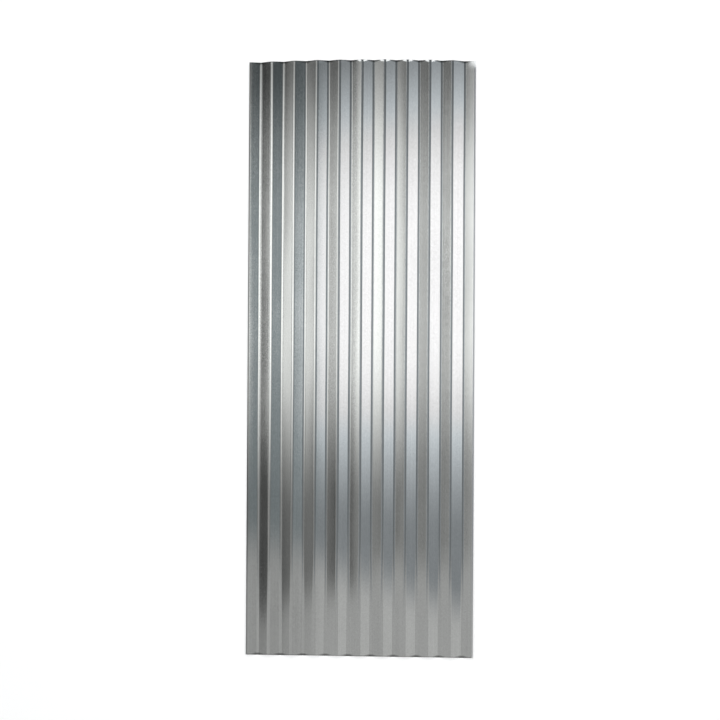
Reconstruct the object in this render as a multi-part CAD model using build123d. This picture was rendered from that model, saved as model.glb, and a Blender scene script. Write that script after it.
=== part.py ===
from build123d import *
import math
import os

# One corrugated steel sheet, lying flat: X across the waves, Y along them, Z up.
# Units are millimetres. The origin is under the middle of the sheet, on the floor.

# Driving dimensions
pitch = 76.2              # crest to crest
corrugations = 10         # whole waves from one long edge to the other
overall_depth = 18.0      # underside of the valleys to the top of the crests
sheet_length = 2000.0     # along the waves
thickness = 0.6           # steel with its zinc coating
fold_radius = 11.5        # middle of the metal, at crests and valleys

# Worked out from the dimensions above
half_pitch = pitch / 2
sheet_width = pitch * corrugations
rise = overall_depth - thickness
valley_z = thickness / 2
crest_z = valley_z + rise


def flank_angle():
    """Slope of the straight flanks, at which they run tangent into both folds.

    The flank, seen from the middle of the crest fold, is the crossed tangent of two equal
    circles whose centres lie half a pitch apart in X and 2 R - rise apart in Z.
    """
    centre_drop = 2 * fold_radius - rise
    centre_distance = math.hypot(half_pitch, centre_drop)
    return math.asin(2 * fold_radius / centre_distance) - math.atan2(centre_drop, half_pitch)


slope = flank_angle()


def on_fold(x, is_crest, angle, lift):
    """Point of a fold at x, turned by angle from its middle, lift above the middle of the metal."""
    side = 1 if is_crest else -1
    radius = fold_radius + side * lift
    centre_z = crest_z - fold_radius if is_crest else valley_z + fold_radius
    return (x + radius * math.sin(angle), centre_z + side * radius * math.cos(angle))


def fold(x, is_crest, start, end, lift):
    """Arc of one fold, from the start angle to the end angle."""
    middle = (start + end) / 2
    angles = (start, middle, end)
    return ThreePointArc(*[on_fold(x, is_crest, angle, lift) for angle in angles])


def wave_line(lift):
    """The sheet's section line, lift above the middle of the metal.

    It starts and ends on the top of a crest, so both long edges are half folds.
    """
    left_edge = -sheet_width / 2
    folds = []
    for i in range(2 * corrugations + 1):
        start = 0 if i == 0 else -slope
        end = 0 if i == 2 * corrugations else slope
        folds.append(fold(left_edge + i * half_pitch, i % 2 == 0, start, end, lift))
    flanks = [Line(a @ 1, b @ 0) for a, b in zip(folds, folds[1:])]
    return folds + flanks


def section_face():
    """The closed section: top line, underside line and the two cut edges."""
    top = wave_line(thickness / 2)
    underside = wave_line(-thickness / 2)
    last = 2 * corrugations
    left_cut = Line(underside[0] @ 0, top[0] @ 0)
    right_cut = Line(underside[last] @ 1, top[last] @ 1)
    return make_face([left_cut, right_cut] + top + underside)


def corrugated_sheet():
    """The section carried along the whole length, and turned to lie along Y."""
    section = Plane.XZ.offset(-sheet_length / 2) * section_face()
    return extrude(section, amount=sheet_length)


os.makedirs("parts", exist_ok=True)
export_step(corrugated_sheet(), "parts/corrugated_sheet.step")
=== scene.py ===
import math

import bpy
import numpy as np
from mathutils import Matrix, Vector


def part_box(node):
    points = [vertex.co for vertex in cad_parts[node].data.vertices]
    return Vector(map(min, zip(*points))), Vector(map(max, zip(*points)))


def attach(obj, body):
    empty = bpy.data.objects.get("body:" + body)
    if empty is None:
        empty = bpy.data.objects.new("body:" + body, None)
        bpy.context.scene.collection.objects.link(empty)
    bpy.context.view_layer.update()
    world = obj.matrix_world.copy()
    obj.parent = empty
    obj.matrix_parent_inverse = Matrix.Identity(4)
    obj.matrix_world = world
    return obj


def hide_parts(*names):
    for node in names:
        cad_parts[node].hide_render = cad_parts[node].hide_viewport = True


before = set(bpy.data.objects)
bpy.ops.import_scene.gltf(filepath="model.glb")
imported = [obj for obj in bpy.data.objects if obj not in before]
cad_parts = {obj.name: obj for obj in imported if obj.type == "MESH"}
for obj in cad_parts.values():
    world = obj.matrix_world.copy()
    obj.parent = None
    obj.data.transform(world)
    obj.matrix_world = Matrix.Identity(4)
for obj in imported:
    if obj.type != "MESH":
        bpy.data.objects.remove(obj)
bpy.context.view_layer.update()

# A corrugated, galvanised steel sheet that lies flat on a pale floor. Metres, X across the
# waves, Y along them, Z up.

# Sizes of the sheet: the outside comes from the CAD node, the section is as it was rolled
sheet_low, sheet_high = (np.array(corner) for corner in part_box("corrugated_sheet"))
CORRUGATIONS = 10
THICKNESS = 0.0006
FOLD_RADIUS = 0.0115

# How finely the sheet is divided
ARC_STEPS = 12            # round each fold
FLANK_WAYS = (0.03, 0.35, 0.65, 0.97)  # down each flank, close to the folds at both ends
MIDDLE_ROWS = 85          # along the sheet, between the end zones
END_ROWS = 12             # in each end zone
END_ZONE = 0.03           # how long an end zone is
END_EASE = 1.6            # the power that crowds its rows towards the cut
SLIT_STRIPS = 10          # faces beside both long edges that the slitting rollers left dull

# Small faults of a rolled and sheared sheet
CREST_DIP = 0.00045       # the most that a crest runs below its highest point, between the ends
LEAST_DIP = 0.4           # the share of it that every crest dips
VALLEY_RISE = 0.0002      # the most that a valley lifts off the floor
HEIGHT_LENGTH = 1.3       # the length over which crests and valleys rise and fall
FOLD_DRIFT = 0.0005       # the most that a fold wanders sideways
DRIFT_LENGTH = 1.7        # the length over which it wanders
FLARE_LENGTH = 0.012      # the length over which the crests turn up at the sheared ends
CUT_WANDER = 0.0004       # the most that a shear cut strays from a straight line
CUT_LENGTH = 0.4          # the length over which it strays
FAR_CUT_ARCH = 0.0075     # how much shorter the sheet is at its far corners
NEAR_CUT_WAVE = 0.002     # how much shorter its crests are at the near end

# Colours of the metal
ZINC = (0.62, 0.63, 0.65)
# The white of the painted highlights at the far end
PAINTED_GLINT_WHITE = (0.68, 0.69, 0.69, 1.0)
BARE_STEEL = (0.36, 0.35, 0.34)

# The strip of painted shade at both ends: on a crest, and in a valley
SHADE_WIDTH = (0.0038, 0.0084)
SHADE_DEPTH = (0.42, 0.7)
VALLEY_TO_CREST = (0.002, 0.011)        # the heights where a valley ends and a crest begins
SHADE_FADE = (0.4, 1.1)                 # the shares of its width over which it fades out

# Painted white highlights at the far end: a wedge on both sides of some crests, and a corner
WEDGE_RISE = (0.0085, 0.0125)           # the heights over which a wedge sets in
WEDGE_STOP = (0.0168, 0.0175)           # and over which it stops, beside the crest line
WEDGE_LONG = (0.0165, 0.0068)           # the height where it is longest, and its length there
WEDGE_SHORT = 0.0022                    # its length where it sets in
WEDGE_FADE = (0.7, 1.2)                 # the shares of its length over which it fades out
WEDGES_FROM = (-0.03, -0.01)            # X over which the crests that have wedges begin
WEDGES_TO = (0.27, 0.29)                # and over which they end
CORNER_X = (0.347, 0.378)               # X over which the corner whitens
CORNER_LENGTH = 0.03                    # the length over which that fades out
CORNER_PAINTED_GLINT = 0.95                     # how much of it is white at the cut


def wander(rng, y, count, longest):
    """Slow random lines, one a column, between -1 and 1.

    Each is the sum of three sines along y, with wavelengths of longest, 1/2 and 1/3.5 of it,
    each stretched a little and with its own phase, and weights of 0.55, 0.3 and 0.15.
    """
    total = np.zeros((len(y), count))
    for weight, share in ((0.55, 1.0), (0.3, 2.0), (0.15, 3.5)):
        phase = rng.uniform(0, 2 * np.pi, count)
        stretch = rng.uniform(0.8, 1.25, count)
        total += weight * np.sin(2 * np.pi * y[:, None] * share * stretch / longest + phase)
    return total


def row_places():
    """Y of each row: even in the middle, and closer towards both sheared ends."""
    low, high = sheet_low[1], sheet_high[1]
    ease = np.linspace(0, 1, END_ROWS, endpoint=False) ** END_EASE
    first = low + END_ZONE * ease
    last = high - END_ZONE * ease[::-1]
    middle = np.linspace(low + END_ZONE, high - END_ZONE, MIDDLE_ROWS)
    return np.concatenate([first, middle, last])


def fold_lines(rng, y):
    """X and Z of every fold's line, in the middle of the metal, one column a fold.

    The folds stand half a pitch apart, crests at even numbers and valleys at odd ones. Each
    wanders sideways, apart from the two outer ones. A crest dips by a share of CREST_DIP, and
    comes up again at the ends, as the square of the way into the flare. A valley lifts by a
    share of VALLEY_RISE.
    """
    folds = 2 * CORRUGATIONS + 1
    is_crest = np.arange(folds) % 2 == 0
    even_x = np.linspace(sheet_low[0], sheet_high[0], folds)
    inside = np.ones(folds)
    inside[[0, -1]] = 0
    x = even_x + FOLD_DRIFT * inside * wander(rng, y, folds, DRIFT_LENGTH)

    to_end = np.minimum(y - y[0], y[-1] - y)[:, None]
    flare = np.clip(1 - to_end / FLARE_LENGTH, 0, 1) ** 2
    share = 0.5 + 0.5 * wander(rng, y, folds, HEIGHT_LENGTH)
    dip = CREST_DIP * (LEAST_DIP + (1 - LEAST_DIP) * share) * (1 - flare)
    crest_z = sheet_high[2] - THICKNESS / 2 - dip
    valley_z = sheet_low[2] + THICKNESS / 2 + VALLEY_RISE * share
    return x, np.where(is_crest, crest_z, valley_z), is_crest


def wave_surface(x, z, is_crest):
    """Middle of the metal and its upward normal in the XZ plane, rows by columns.

    A fold is an arc of FOLD_RADIUS about a centre under a crest or over a valley. A flank is
    the crossed tangent of two neighbouring circles. Their centres lie dx apart, and by
    drop = 2 R - (crest height - valley height) in Z, so the flank's slope is
    asin(2 R / hypot(dx, drop)) - atan2(drop, dx). The columns run round each fold, from the
    slope of the flank before it to the slope of the one after it, and then down the flank.
    """
    side = np.where(is_crest, 1.0, -1.0)
    centre_z = z - side * FOLD_RADIUS
    dx = np.diff(x, axis=1)
    drop = 2 * FOLD_RADIUS - side[:-1] * (z[:, :-1] - z[:, 1:])
    slope = np.arcsin(2 * FOLD_RADIUS / np.hypot(dx, drop)) - np.arctan2(drop, dx)
    level = np.zeros((len(x), 1))
    start = np.hstack([level, -slope])
    end = np.hstack([slope, level])

    turn = np.linspace(0, 1, ARC_STEPS + 1)
    angle = start[..., None] + (end - start)[..., None] * turn
    arc = np.stack([
        x[..., None] + FOLD_RADIUS * np.sin(angle),
        centre_z[..., None] + side[:, None] * FOLD_RADIUS * np.cos(angle),
        side[:, None] * np.sin(angle),
        np.cos(angle),
    ], axis=-1)

    way = np.array(FLANK_WAYS)
    leave = arc[:, :, -1:, :]
    arrive = np.roll(arc, -1, axis=1)[:, :, :1, :]
    flank = leave + (arrive - leave) * way[:, None]
    grid = np.concatenate([arc, flank], axis=2)
    grid = grid.reshape(len(x), -1, 4)[:, :-len(way)]
    return grid[..., :2], grid[..., 2:]


def stray_cut(rng, points):
    """Draws both ends in to where the shears cut, and fades that out over END_ZONE.

    Both cuts wander, the far one is arched as the square of the place across, and the near one
    is shorter the higher the metal is.
    """
    across = points[0, :, 0]
    half = (sheet_high[0] - sheet_low[0]) / 2
    middle = (sheet_high[0] + sheet_low[0]) / 2
    height = (points[0, :, 2] - sheet_low[2]) / (sheet_high[2] - sheet_low[2])
    arch = FAR_CUT_ARCH * ((across - middle) / half) ** 2
    for row, inward, shape in ((0, 1.0, NEAR_CUT_WAVE * height), (-1, -1.0, arch)):
        line = CUT_WANDER * (0.5 + 0.5 * wander(rng, across, 1, CUT_LENGTH)[:, 0])
        to_end = np.abs(points[:, :, 1] - points[row, :, 1])
        fade = np.clip(1 - to_end / END_ZONE, 0, 1)
        points[:, :, 1] += inward * (line + shape) * fade


def grid_faces(rows, columns, first, flip):
    """Quads of a grid of vertices that starts at the vertex number first."""
    corner = first + np.arange(rows - 1)[:, None] * columns + np.arange(columns - 1)
    quads = np.stack([corner, corner + 1, corner + columns + 1, corner + columns], axis=-1)
    quads = quads.reshape(-1, 4)
    return quads[:, ::-1] if flip else quads


def rim_faces(rows, columns):
    """Quads of the thin cut rim, between the outline of the upper grid and the lower one."""
    grid = np.arange(rows * columns).reshape(rows, columns)
    outline = np.concatenate([grid[0, :-1], grid[:-1, -1], grid[-1, :0:-1], grid[:0:-1, 0]])
    following = np.roll(outline, -1)
    below = rows * columns
    return np.stack([outline, outline + below, following + below, following], axis=1)


def make_mesh(name, points, faces, materials, face_material, smooth):
    """An object of quads. Each face has a number among the materials, and is smooth or not."""
    mesh = bpy.data.meshes.new(name)
    mesh.vertices.add(len(points))
    mesh.vertices.foreach_set("co", points.ravel())
    mesh.loops.add(faces.size)
    mesh.loops.foreach_set("vertex_index", faces.ravel())
    mesh.polygons.add(len(faces))
    mesh.polygons.foreach_set("loop_start", np.arange(0, faces.size, faces.shape[1]))
    for material in materials:
        mesh.materials.append(material)
    mesh.polygons.foreach_set("material_index", face_material)
    mesh.polygons.foreach_set("use_smooth", smooth)
    mesh.update(calc_edges=True)
    mesh.validate()
    piece = bpy.data.objects.new(name, mesh)
    bpy.context.scene.collection.objects.link(piece)
    return piece


def make_flat(name, points, material):
    """A flat mesh of the one quad whose four corners form a grid of 2 by 2."""
    faces = grid_faces(2, 2, 0, False).astype(np.int32)
    return make_mesh(name, points.reshape(-1, 3), faces, [material], np.zeros(1, np.int32),
                     np.zeros(1, bool))


def corrugated_sheet(zinc, cut_edge, slit_edge):
    """The sheet: an upper and a lower surface, THICKNESS apart, closed by the cut rim."""
    rng = np.random.default_rng(762)
    y = row_places()
    x, z, is_crest = fold_lines(rng, y)
    middle, normal = wave_surface(x, z, is_crest)
    rows, columns = middle.shape[:2]
    both = np.empty((2, rows, columns, 3))
    for points, lift in zip(both, (THICKNESS / 2, -THICKNESS / 2)):
        points[..., [0, 2]] = middle + lift * normal
        points[..., 1] = y[:, None]
        stray_cut(np.random.default_rng(2000), points)

    upper = grid_faces(rows, columns, 0, False)
    lower = grid_faces(rows, columns, rows * columns, True)
    rim = rim_faces(rows, columns)
    faces = np.concatenate([upper, lower, rim]).astype(np.int32)
    is_rim = np.arange(len(faces)) >= len(upper) + len(lower)
    strip = np.arange(columns - 1)
    beside_edge = np.minimum(strip, strip[::-1]) < SLIT_STRIPS
    face_material = is_rim.astype(np.int32)
    face_material[~is_rim] = 2 * np.tile(beside_edge, 2 * (rows - 1))
    materials = [zinc, cut_edge, slit_edge]
    piece = make_mesh("zinc_sheet", both.reshape(-1, 3), faces, materials, face_material, ~is_rim)
    sharpen_rim(piece.data, rows, columns)
    return piece


def sharpen_rim(mesh, rows, columns):
    """Marks the edges all round the cut rim as sharp, so that the flat sides shade cleanly."""
    ends = np.empty(len(mesh.edges) * 2, dtype=np.int32)
    mesh.edges.foreach_get("vertices", ends)
    side, place = np.divmod(ends.reshape(-1, 2), rows * columns)
    row, column = np.divmod(place, columns)
    on_rim = (row == 0) | (row == rows - 1) | (column == 0) | (column == columns - 1)
    sharp = on_rim.all(axis=1) & (side[:, 0] == side[:, 1])
    layer = mesh.attributes.new("sharp_edge", "BOOLEAN", "EDGE")
    layer.data.foreach_set("value", sharp)


class Nodes:
    """Short hand for adding linked nodes to one node tree."""

    def __init__(self, tree):
        self.tree = tree

    def add(self, kind, settings=None, **inputs):
        """A node. An input is named like its socket, or _ and its number, as in _0."""
        node = self.tree.nodes.new(kind)
        for name, value in (settings or {}).items():
            setattr(node, name, value)
        for name, value in inputs.items():
            place = int(name[1:]) if name[0] == "_" else name.replace("_", " ")
            if isinstance(value, bpy.types.NodeSocket):
                self.link(value, node, place)
            else:
                node.inputs[place].default_value = value
        return node

    def link(self, value, node, place):
        self.tree.links.new(value, node.inputs[place])

    def math(self, operation, a, b=0.0):
        return self.add("ShaderNodeMath", {"operation": operation}, _0=a, _1=b).outputs[0]

    def vector(self, operation, a, b=(0.0, 0.0, 0.0)):
        return self.add("ShaderNodeVectorMath", {"operation": operation}, _0=a, _1=b).outputs[0]

    def scale(self, vector, share):
        node = self.add("ShaderNodeVectorMath", {"operation": "SCALE"}, _0=vector, Scale=share)
        return node.outputs[0]

    def parts(self, vector):
        return self.add("ShaderNodeSeparateXYZ", None, Vector=vector).outputs

    def spread(self, value, low, high, to_low=0.0, to_high=1.0):
        """Maps low..high of a value to to_low..to_high, and clamps it."""
        node = self.add("ShaderNodeMapRange", None, Value=value, From_Min=low, From_Max=high,
                        To_Min=to_low, To_Max=to_high)
        return node.outputs["Result"]

    def ease(self, value, low, high, to_low, to_high):
        """The same as spread, along a smooth step."""
        result = self.spread(value, low, high, to_low, to_high)
        result.node.interpolation_type = "SMOOTHSTEP"
        return result

    def blend(self, share, first, second):
        """Colour from first to second, by a share of 0 to 1. A Mix has its colours at 6 and 7."""
        node = self.add("ShaderNodeMix", {"data_type": "RGBA"}, _0=share, _6=first, _7=second)
        return node.outputs[2]

    def group(self, group, **inputs):
        return self.add("ShaderNodeGroup", {"node_tree": group}, **inputs).outputs


def new_group(name, inputs, outputs):
    """A node group with inputs given as (name, kind, default) and outputs as (name, kind)."""
    group = bpy.data.node_groups.new(name, "ShaderNodeTree")
    for socket, kind, default in inputs:
        made = group.interface.new_socket(name=socket, in_out="INPUT", socket_type=kind)
        if default is not None:
            made.default_value = default
    for socket, kind in outputs:
        group.interface.new_socket(name=socket, in_out="OUTPUT", socket_type=kind)
    nodes = Nodes(group)
    return group, nodes, nodes.add("NodeGroupInput").outputs, nodes.add("NodeGroupOutput")


def grain_group():
    """Fine metal grain: cells of the given size, each with its own tone and its own slight tilt."""
    group, nodes, given, out = new_group(
        "metal_grain",
        [("Vector", "NodeSocketVector", None), ("Size", "NodeSocketFloat", 0.003),
         ("Tilt", "NodeSocketFloat", 0.02)],
        [("Tone", "NodeSocketFloat"), ("Normal", "NodeSocketVector")])
    cells = nodes.add("ShaderNodeTexVoronoi", {"feature": "SMOOTH_F1"}, Vector=given["Vector"],
                      Scale=nodes.math("DIVIDE", 1.0, given["Size"]), Smoothness=0.35)
    tone = nodes.add("ShaderNodeSeparateColor", None, Color=cells.outputs["Color"]).outputs[0]
    lean = nodes.vector("SUBTRACT", cells.outputs["Color"], (0.5, 0.5, 0.5))
    surface = nodes.add("ShaderNodeNewGeometry").outputs["Normal"]
    tilted = nodes.vector("ADD", surface, nodes.scale(lean, given["Tilt"]))
    nodes.link(tone, out, "Tone")
    nodes.link(nodes.vector("NORMALIZE", tilted), out, "Normal")
    return group


def rolling_group():
    """Rolling lines: fine noise drawn out along Y, as rollers leave it, from 0 to 1."""
    group, nodes, given, out = new_group(
        "rolling_lines",
        [("Vector", "NodeSocketVector", None), ("Across", "NodeSocketFloat", 400.0),
         ("Along", "NodeSocketFloat", 1.5)],
        [("Lines", "NodeSocketFloat")])
    stretch = nodes.add("ShaderNodeCombineXYZ", None, X=given["Across"], Y=given["Along"],
                        Z=given["Across"]).outputs[0]
    drawn = nodes.vector("MULTIPLY", given["Vector"], stretch)
    noise = nodes.add("ShaderNodeTexNoise", None, Vector=drawn, Scale=1.0, Detail=3.0,
                      Roughness=0.6)
    nodes.link(noise.outputs["Fac"], out, "Lines")
    return group


def far_and_near(nodes, parts):
    """How far a place is from the far cut, with its arch, and from the near one, with its wave."""
    half = (sheet_high[0] - sheet_low[0]) / 2
    across = nodes.math("DIVIDE", nodes.math("SUBTRACT", parts["X"], sheet_low[0] + half), half)
    arch = nodes.math("MULTIPLY", nodes.math("MULTIPLY", across, across), FAR_CUT_ARCH)
    to_far = nodes.math("SUBTRACT", nodes.math("SUBTRACT", sheet_high[1], arch), parts["Y"])
    wave = nodes.spread(parts["Z"], sheet_low[2], sheet_high[2], 0.0, NEAR_CUT_WAVE)
    to_near = nodes.math("SUBTRACT", nodes.math("SUBTRACT", parts["Y"], sheet_low[1]), wave)
    return to_far, to_near


def end_shade(nodes, height, to_end):
    """How much painted shade darkens the metal near both ends: widest and darkest in the valleys.
    """
    valley = nodes.spread(height, *VALLEY_TO_CREST, 1.0, 0.0)
    width = nodes.spread(valley, 0.0, 1.0, *SHADE_WIDTH)
    near = nodes.spread(nodes.math("DIVIDE", to_end, width), *SHADE_FADE, 1.0, 0.0)
    return nodes.math("MULTIPLY", near, nodes.spread(valley, 0.0, 1.0, *SHADE_DEPTH))


def end_painted_glints(nodes, across, height, to_far):
    """Painted white highlights at the far end, 1 where they are. A wedge is longest beside the
    crest line.
    """
    longest_at, longest = WEDGE_LONG
    length = nodes.spread(height, WEDGE_RISE[0], longest_at, WEDGE_SHORT, longest)
    near = nodes.spread(nodes.math("DIVIDE", to_far, length), *WEDGE_FADE, 1.0, 0.0)
    beside = nodes.math("MULTIPLY", nodes.spread(height, *WEDGE_RISE),
                        nodes.spread(height, *WEDGE_STOP, 1.0, 0.0))
    some = nodes.math("MULTIPLY", nodes.spread(across, *WEDGES_FROM),
                      nodes.spread(across, *WEDGES_TO, 1.0, 0.0))
    wedge = nodes.math("MULTIPLY", nodes.math("MULTIPLY", near, beside), some)
    corner = nodes.math("MULTIPLY", nodes.ease(across, *CORNER_X, 0.0, 1.0),
                        nodes.ease(to_far, 0.0, CORNER_LENGTH, CORNER_PAINTED_GLINT, 0.0))
    return nodes.math("MAXIMUM", wedge, corner)


def ends_group():
    """Painted light at both ends: a strip of painted shade, and painted white highlights at the far
    end.
    """
    group, nodes, given, out = new_group(
        "end_shade_and_glints",
        [("Vector", "NodeSocketVector", None)],
        [("Shade", "NodeSocketFloat"), ("PaintedGlint", "NodeSocketFloat")])
    parts = nodes.parts(given["Vector"])
    to_far, to_near = far_and_near(nodes, parts)
    shade = end_shade(nodes, parts["Z"], nodes.math("MINIMUM", to_far, to_near))
    nodes.link(shade, out, "Shade")
    nodes.link(end_painted_glints(nodes, parts["X"], parts["Z"], to_far), out, "PaintedGlint")
    return group


def new_material(name):
    material = bpy.data.materials.new(name)
    material.use_nodes = True
    nodes = Nodes(material.node_tree)
    place = nodes.add("ShaderNodeTexCoord").outputs["Object"]
    return material, nodes, nodes.tree.nodes["Principled BSDF"], place


def new_glow(name):
    """A material that only glows, at strength 1. The third of what it gives takes the colour."""
    material, nodes, shader, place = new_material(name)
    nodes.tree.nodes.remove(shader)
    glow = nodes.add("ShaderNodeEmission", None, Strength=1.0)
    nodes.link(glow.outputs[0], nodes.tree.nodes["Material Output"], "Surface")
    return material, nodes, glow, place


def colour_with_painted_glint(nodes, shader, tone, painted_glint):
    """Zinc of the given tone, which is no longer metallic where the painted white highlight covers
    it.
    """
    colour = nodes.blend(painted_glint, nodes.scale(ZINC, tone), PAINTED_GLINT_WHITE)
    nodes.link(colour, shader, "Base Color")
    nodes.link(nodes.math("SUBTRACT", 1.0, painted_glint), shader, "Metallic")


def zinc_material(grain, rolling, ends):
    """Hot-dip zinc with a fine, skin-passed spangle, faint rolling lines and pale storage haze."""
    material, nodes, shader, place = new_material("zinc")
    cells = nodes.group(grain, Vector=place, Size=0.0034, Tilt=0.002)
    lines = nodes.group(rolling, Vector=place, Across=170.0, Along=0.9)["Lines"]
    haze = nodes.add("ShaderNodeTexNoise", None, Vector=place, Scale=5.0, Detail=4.0,
                     Roughness=0.55).outputs["Fac"]

    tone = nodes.math("MULTIPLY", nodes.math("SUBTRACT", cells["Tone"], 0.5), 0.08)
    tone = nodes.math("ADD", tone, nodes.spread(lines, 0.25, 0.75, -0.035, 0.035))
    tone = nodes.math("ADD", tone, nodes.spread(haze, 0.35, 0.65, -0.02, 0.02))
    tone = nodes.math("ADD", tone, 1.0)
    painted_end_light = nodes.group(ends, Vector=place)
    # painted shade darkens the tone near both ends
    tone = nodes.math("MULTIPLY", tone, nodes.math("SUBTRACT", 1.0, painted_end_light["Shade"]))
    # painted white highlights cover the far end
    colour_with_painted_glint(nodes, shader, tone, painted_end_light["PaintedGlint"])

    rough = nodes.spread(cells["Tone"], 0.0, 1.0, 0.12, 0.15)
    rough = nodes.math("ADD", rough, nodes.spread(lines, 0.3, 0.7, -0.015, 0.02))
    rough = nodes.math("ADD", rough, nodes.spread(haze, 0.35, 0.65, -0.01, 0.02))
    nodes.link(rough, shader, "Roughness")

    bump = nodes.add("ShaderNodeBump", None, Strength=0.015, Distance=0.0004, Height=lines,
                     Normal=cells["Normal"])
    nodes.link(bump.outputs["Normal"], shader, "Normal")
    return material


def slit_edge_material(grain, rolling, ends):
    """Zinc beside the slit edges, rubbed dull, with painted shade on the left that deepens along Y,
    and a painted highlight on the right.
    """
    material, nodes, shader, place = new_material("slit_edge")
    cells = nodes.group(grain, Vector=place, Size=0.0015, Tilt=0.05)
    lines = nodes.group(rolling, Vector=place, Across=600.0, Along=6.0)["Lines"]
    parts = nodes.parts(place)
    # painted shade on the left strips, and a painted highlight of 1.3 times the zinc on the right
    left_painted_shade = nodes.ease(parts["Y"], -0.75, -0.35, 0.6, 0.3)
    tone = nodes.math("MULTIPLY", nodes.spread(lines, 0.3, 0.7, 0.92, 1.06),
                      nodes.spread(parts["X"], sheet_low[0], sheet_high[0], left_painted_shade, 1.3))
    colour_with_painted_glint(nodes, shader, tone, nodes.group(ends, Vector=place)["PaintedGlint"])
    nodes.link(nodes.spread(cells["Tone"], 0.0, 1.0, 0.28, 0.4), shader, "Roughness")
    nodes.link(cells["Normal"], shader, "Normal")
    return material


def cut_edge_material(grain, rolling):
    """Bare steel where the sheet was sheared: darker and duller than the zinc."""
    material, nodes, shader, place = new_material("cut_edge")
    cells = nodes.group(grain, Vector=place, Size=0.0008, Tilt=0.2)
    lines = nodes.group(rolling, Vector=place, Across=900.0, Along=900.0)["Lines"]
    tone = nodes.spread(lines, 0.3, 0.7, 0.8, 1.15)
    nodes.link(nodes.scale(BARE_STEEL, tone), shader, "Base Color")
    nodes.link(nodes.spread(cells["Tone"], 0.0, 1.0, 0.4, 0.6), shader, "Roughness")
    nodes.link(cells["Normal"], shader, "Normal")
    shader.inputs["Metallic"].default_value = 1.0
    return material


FLOOR_HALF = 15.0
NEAR_AND_AWAY = (1.3, 4.0)  # how far from the sheet's middle the floor counts as near and as away
WHITE_SHARES = (0.6, 1.0)   # how much of it the camera sees as plain white, near and away


def make_floor():
    """A pale floor. The camera sees it mostly as plain white, with the sheet's shadow left in."""
    material, nodes, shader, place = new_material("pale_floor")
    shader.inputs["Base Color"].default_value = (0.86, 0.86, 0.86, 1.0)
    shader.inputs["Roughness"].default_value = 0.9
    shader.inputs["Specular IOR Level"].default_value = 0.0
    white = nodes.add("ShaderNodeEmission", None, Color=(1.0, 1.0, 1.0, 1.0), Strength=1.0)
    away = nodes.add("ShaderNodeVectorMath", {"operation": "LENGTH"}, _0=place).outputs["Value"]
    seen = nodes.add("ShaderNodeLightPath").outputs["Is Camera Ray"]
    share = nodes.math("MULTIPLY", seen, nodes.ease(away, *NEAR_AND_AWAY, *WHITE_SHARES))
    mixed = nodes.add("ShaderNodeMixShader", None, Fac=share, _1=shader.outputs[0],
                      _2=white.outputs[0])
    nodes.link(mixed.outputs[0], nodes.tree.nodes["Material Output"], "Surface")

    corners = np.zeros((2, 2, 3))
    corners[..., 0] = np.array([-FLOOR_HALF, FLOOR_HALF])
    corners[..., 1] = np.array([-FLOOR_HALF, FLOOR_HALF])[:, None]
    floor = make_flat("floor", corners, material)


# Tints of the light
COOL = (0.94, 1.0, 1.01)
EVEN = (1.01, 0.99, 0.965)
WARM = (0.995, 1.0, 0.945)
WALL = (0.88, 1.0, 1.0)
FRONT_TINT = (0.995, 0.997, 0.945)

# Y over which a card brightens to its middle level, and over which it dims again behind that
RIGHT_STEPS = (-0.62, 0.10, 0.47, 1.30)
WALL_STEPS = (-0.60, 0.15, 0.42, 1.22)
LEFT_STEPS = (-0.53, 0.13, 0.50, 1.20)
FAR_STEPS = (-0.60, 0.12, 0.38, 1.22)
TINT_SHARES = (0.46, 0.62)  # the part of a step in which its tint changes, from its dark side
FRONT_FADE = 0.09           # half the length over which a card gives way to the room's front
CARD_REACH = 1.6            # how far a card reaches along Y, both ways

# The room: a softbox in the right wall, a ceiling, and strips before the left wall
RIGHT_X = 0.55
LEFT_X = -1.7
CEILING_Z = 1.0
BOX_TOP = 0.622
RIM_TOP = 0.675
BANK_Z = 0.62
HIGH_Z = 0.61
MIDDLE_Z = 0.345
LOW_Z = 0.2

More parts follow.
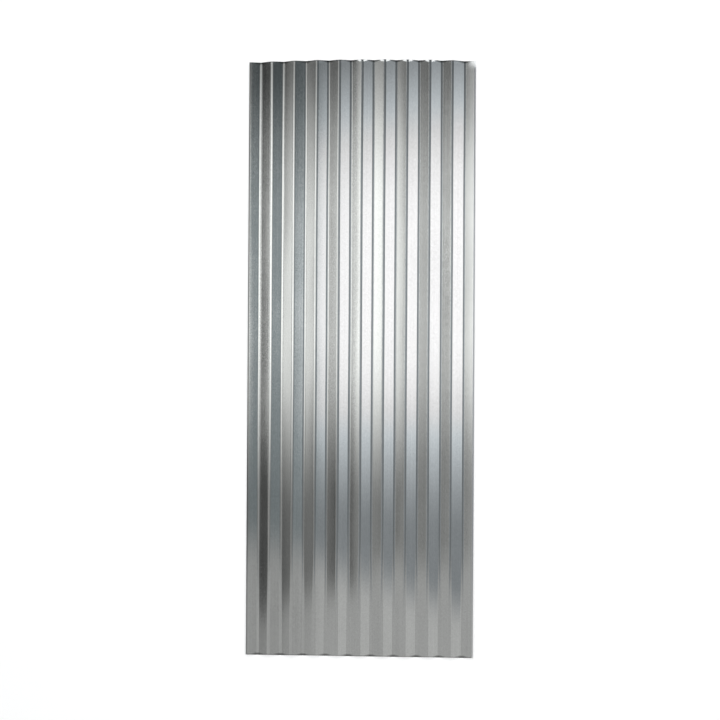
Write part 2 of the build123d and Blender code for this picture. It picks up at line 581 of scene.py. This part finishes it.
# Each card: its name, start and end in the XZ plane, levels, tints, steps, front, end_share
CARDS = (
    ("right_softbox", (RIGHT_X, 0.0), (RIGHT_X, BOX_TOP), (0.33, 1.52, 0.14), (COOL, EVEN, COOL),
     RIGHT_STEPS, (-0.90, -0.75, 0.61), 1.0),
    ("softbox_rim", (RIGHT_X, BOX_TOP), (RIGHT_X, RIM_TOP), (0.29, 0.66, 0.12), (WALL,) * 3,
     WALL_STEPS, (-0.715, -0.70, 0.46), 1.0),
    ("right_wall", (RIGHT_X, RIM_TOP), (RIGHT_X, CEILING_Z), (0.27, 0.41, 0.1), (WALL,) * 3,
     WALL_STEPS, (-0.70, -0.69, 0.42), 0.75),
    ("ceiling", (LEFT_X, CEILING_Z), (RIGHT_X, CEILING_Z), (0.47, 0.9, 0.34), (COOL,) * 3,
     LEFT_STEPS, (-1.0, -0.78, 0.5), 0.36),
    ("left_wall", (LEFT_X, 0.1), (LEFT_X, CEILING_Z), (0.08, 0.19, 0.05), (WARM,) * 3,
     LEFT_STEPS, (-1.025, -1.025, 0.33), 1.0),
    ("left_bank", (-1.42, BANK_Z), (-0.45, BANK_Z), (0.26, 0.52, 0.16), (WARM,) * 3,
     LEFT_STEPS, (-0.92, -0.71, 0.5), 1.0),
    ("bank_strip", (-0.88, HIGH_Z), (-0.77, HIGH_Z), (0.34, 0.84, 0.22), (WARM,) * 3,
     LEFT_STEPS, (-0.80, -0.78, 0.5), 1.0),
    ("high_strip", (-0.59, HIGH_Z), (-0.45, HIGH_Z), (0.52, 1.85, 0.8), (WARM,) * 3,
     LEFT_STEPS, (-0.73, -0.73, 0.5), 1.0),
    ("far_strip", (-0.92, MIDDLE_Z), (-0.77, MIDDLE_Z), (0.2, 1.31, 0.18), (WARM,) * 3,
     FAR_STEPS, (-0.87, -0.87, 0.44), 1.0),
    ("middle_strip", (-0.70, MIDDLE_Z), (-0.60, MIDDLE_Z), (0.06, 0.88, 0.05), (WARM,) * 3,
     LEFT_STEPS, (-0.835, -0.835, 0.5), 1.0),
    ("low_strip", (-0.345, LOW_Z), (-0.18, LOW_Z), (0.36, 1.95, 0.36), (WARM,) * 3,
     LEFT_STEPS, (-0.80, -0.66, 0.48), 0.62),
)

# The lamp, which lights the floor and isn't seen in the metal
LAMP_SIZE = (4.0, 5.0)
LAMP_POWER = 260.0
LAMP_PLACE = (0.3, 0.6, 4.0)
LAMP_TURN = (-8, 4, 0)

# The room beyond the cards: its level low down and high up, and how steep a look is low or high
ROOM_LEVELS = (0.9, 0.3)
ROOM_HEIGHTS = (0.1, 0.3)

# Camera: fitted to the sheet's four corners in the photograph, from this far above
CAMERA_PLACE = (0.714, -0.1124, 8.0)
CAMERA_TURN = (0.778, 5.118, 0.341)
CAMERA_LENS = 119.75


def glow_of(level, tint):
    """The colour of a tint at a level."""
    return (level * tint[0], level * tint[1], level * tint[2], 1.0)


def light_card(name, start, end, levels, tints, steps, front, end_share):
    """A glowing card beside or over the sheet that only the metal's reflections show.

    In the XZ plane it is a straight line from start to end, and along Y it passes both ends of
    the sheet. levels and tints are its glow before the sheet's middle, at the middle and behind
    it. Smooth steps join the levels, the first over the Y of steps[0] to steps[1] and the second
    over the rest. The tints change within the part TINT_SHARES of each step, counted from its
    dark side. The glow changes evenly from start to end, where it is end_share of that. Nearer
    than the Y in front, given at start and at end, the room's light front shows, at the level
    that comes after them, and it fades out over 2 FRONT_FADE.
    """
    material, nodes, glow, place = new_glow(name)
    parts = nodes.parts(place)
    upright = start[0] == end[0]
    way = nodes.spread(parts["Z" if upright else "X"], start[upright], end[upright])
    before, full, behind = (glow_of(1.0, tint) for tint in tints)
    first, second = ([dark + share * (light - dark) for share in TINT_SHARES]
                     for dark, light in (steps[:2], steps[:1:-1]))
    colour = nodes.blend(nodes.ease(parts["Y"], *first, 0.0, 1.0), before, full)
    colour = nodes.blend(nodes.ease(parts["Y"], *second[::-1], 0.0, 1.0), colour, behind)
    level = nodes.ease(parts["Y"], steps[0], steps[1], levels[0], levels[1])
    level = nodes.ease(parts["Y"], steps[2], steps[3], level, levels[2])
    level = nodes.math("MULTIPLY", level, nodes.spread(way, 0.0, 1.0, 1.0, end_share))
    from_front = nodes.math("SUBTRACT", parts["Y"], nodes.spread(way, 0.0, 1.0, *front[:2]))
    is_front = nodes.ease(from_front, -FRONT_FADE, FRONT_FADE, 1.0, 0.0)
    front_glow = glow_of(front[2], FRONT_TINT)
    nodes.link(nodes.blend(is_front, nodes.scale(colour, level), front_glow), glow, "Color")

    points = np.empty((2, 2, 3))
    points[..., [0, 2]] = np.array([start, end])
    points[..., 1] = np.array([-CARD_REACH, CARD_REACH])[:, None]
    card = make_flat(name, points, material)
    card.visible_camera = False
    card.visible_diffuse = False
    card.visible_shadow = False
    card.visible_transmission = False
    card.visible_volume_scatter = False


def place_in_scene(name, data, place, turn):
    """An object for a lamp's or a camera's data, at a place and turned by degrees."""
    holder = bpy.data.objects.new(name, data)
    holder.location = place
    holder.rotation_euler = [math.radians(angle) for angle in turn]
    bpy.context.scene.collection.objects.link(holder)
    return holder


def make_lamp():
    lamp = bpy.data.lights.new("wide_lamp", "AREA")
    lamp.shape = "RECTANGLE"
    lamp.size, lamp.size_y = LAMP_SIZE
    lamp.energy = LAMP_POWER
    place_in_scene("wide_lamp", lamp, LAMP_PLACE, LAMP_TURN).visible_glossy = False


def make_room():
    """A cool grey room round the cards, which the camera sees as plain white."""
    world = bpy.data.worlds.new("grey_room")
    world.use_nodes = True
    bpy.context.scene.world = world
    nodes = Nodes(world.node_tree)
    up = nodes.parts(nodes.add("ShaderNodeTexCoord").outputs["Generated"])["Z"]
    seen = nodes.add("ShaderNodeLightPath").outputs["Is Camera Ray"]
    level = nodes.spread(seen, 0.0, 1.0, nodes.spread(up, *ROOM_HEIGHTS, *ROOM_LEVELS), 1.0)
    room = nodes.tree.nodes["Background"]
    nodes.link(nodes.blend(seen, (*COOL, 1.0), (1.0, 1.0, 1.0, 1.0)), room, "Color")
    nodes.link(level, room, "Strength")


def make_camera():
    camera = bpy.data.cameras.new("camera")
    camera.lens = CAMERA_LENS
    camera.clip_end = 100.0
    bpy.context.scene.camera = place_in_scene("camera", camera, CAMERA_PLACE, CAMERA_TURN)


metal_grain = grain_group()
rolling_lines = rolling_group()
end_shade_and_glints = ends_group()
zinc_sheet = corrugated_sheet(zinc_material(metal_grain, rolling_lines, end_shade_and_glints),
                              cut_edge_material(metal_grain, rolling_lines),
                              slit_edge_material(metal_grain, rolling_lines, end_shade_and_glints))
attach(zinc_sheet, "root")
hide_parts("corrugated_sheet")

make_floor()
for card_facts in CARDS:
    light_card(*card_facts)
make_lamp()
make_room()
make_camera()
bpy.context.scene.view_settings.view_transform = "Standard"
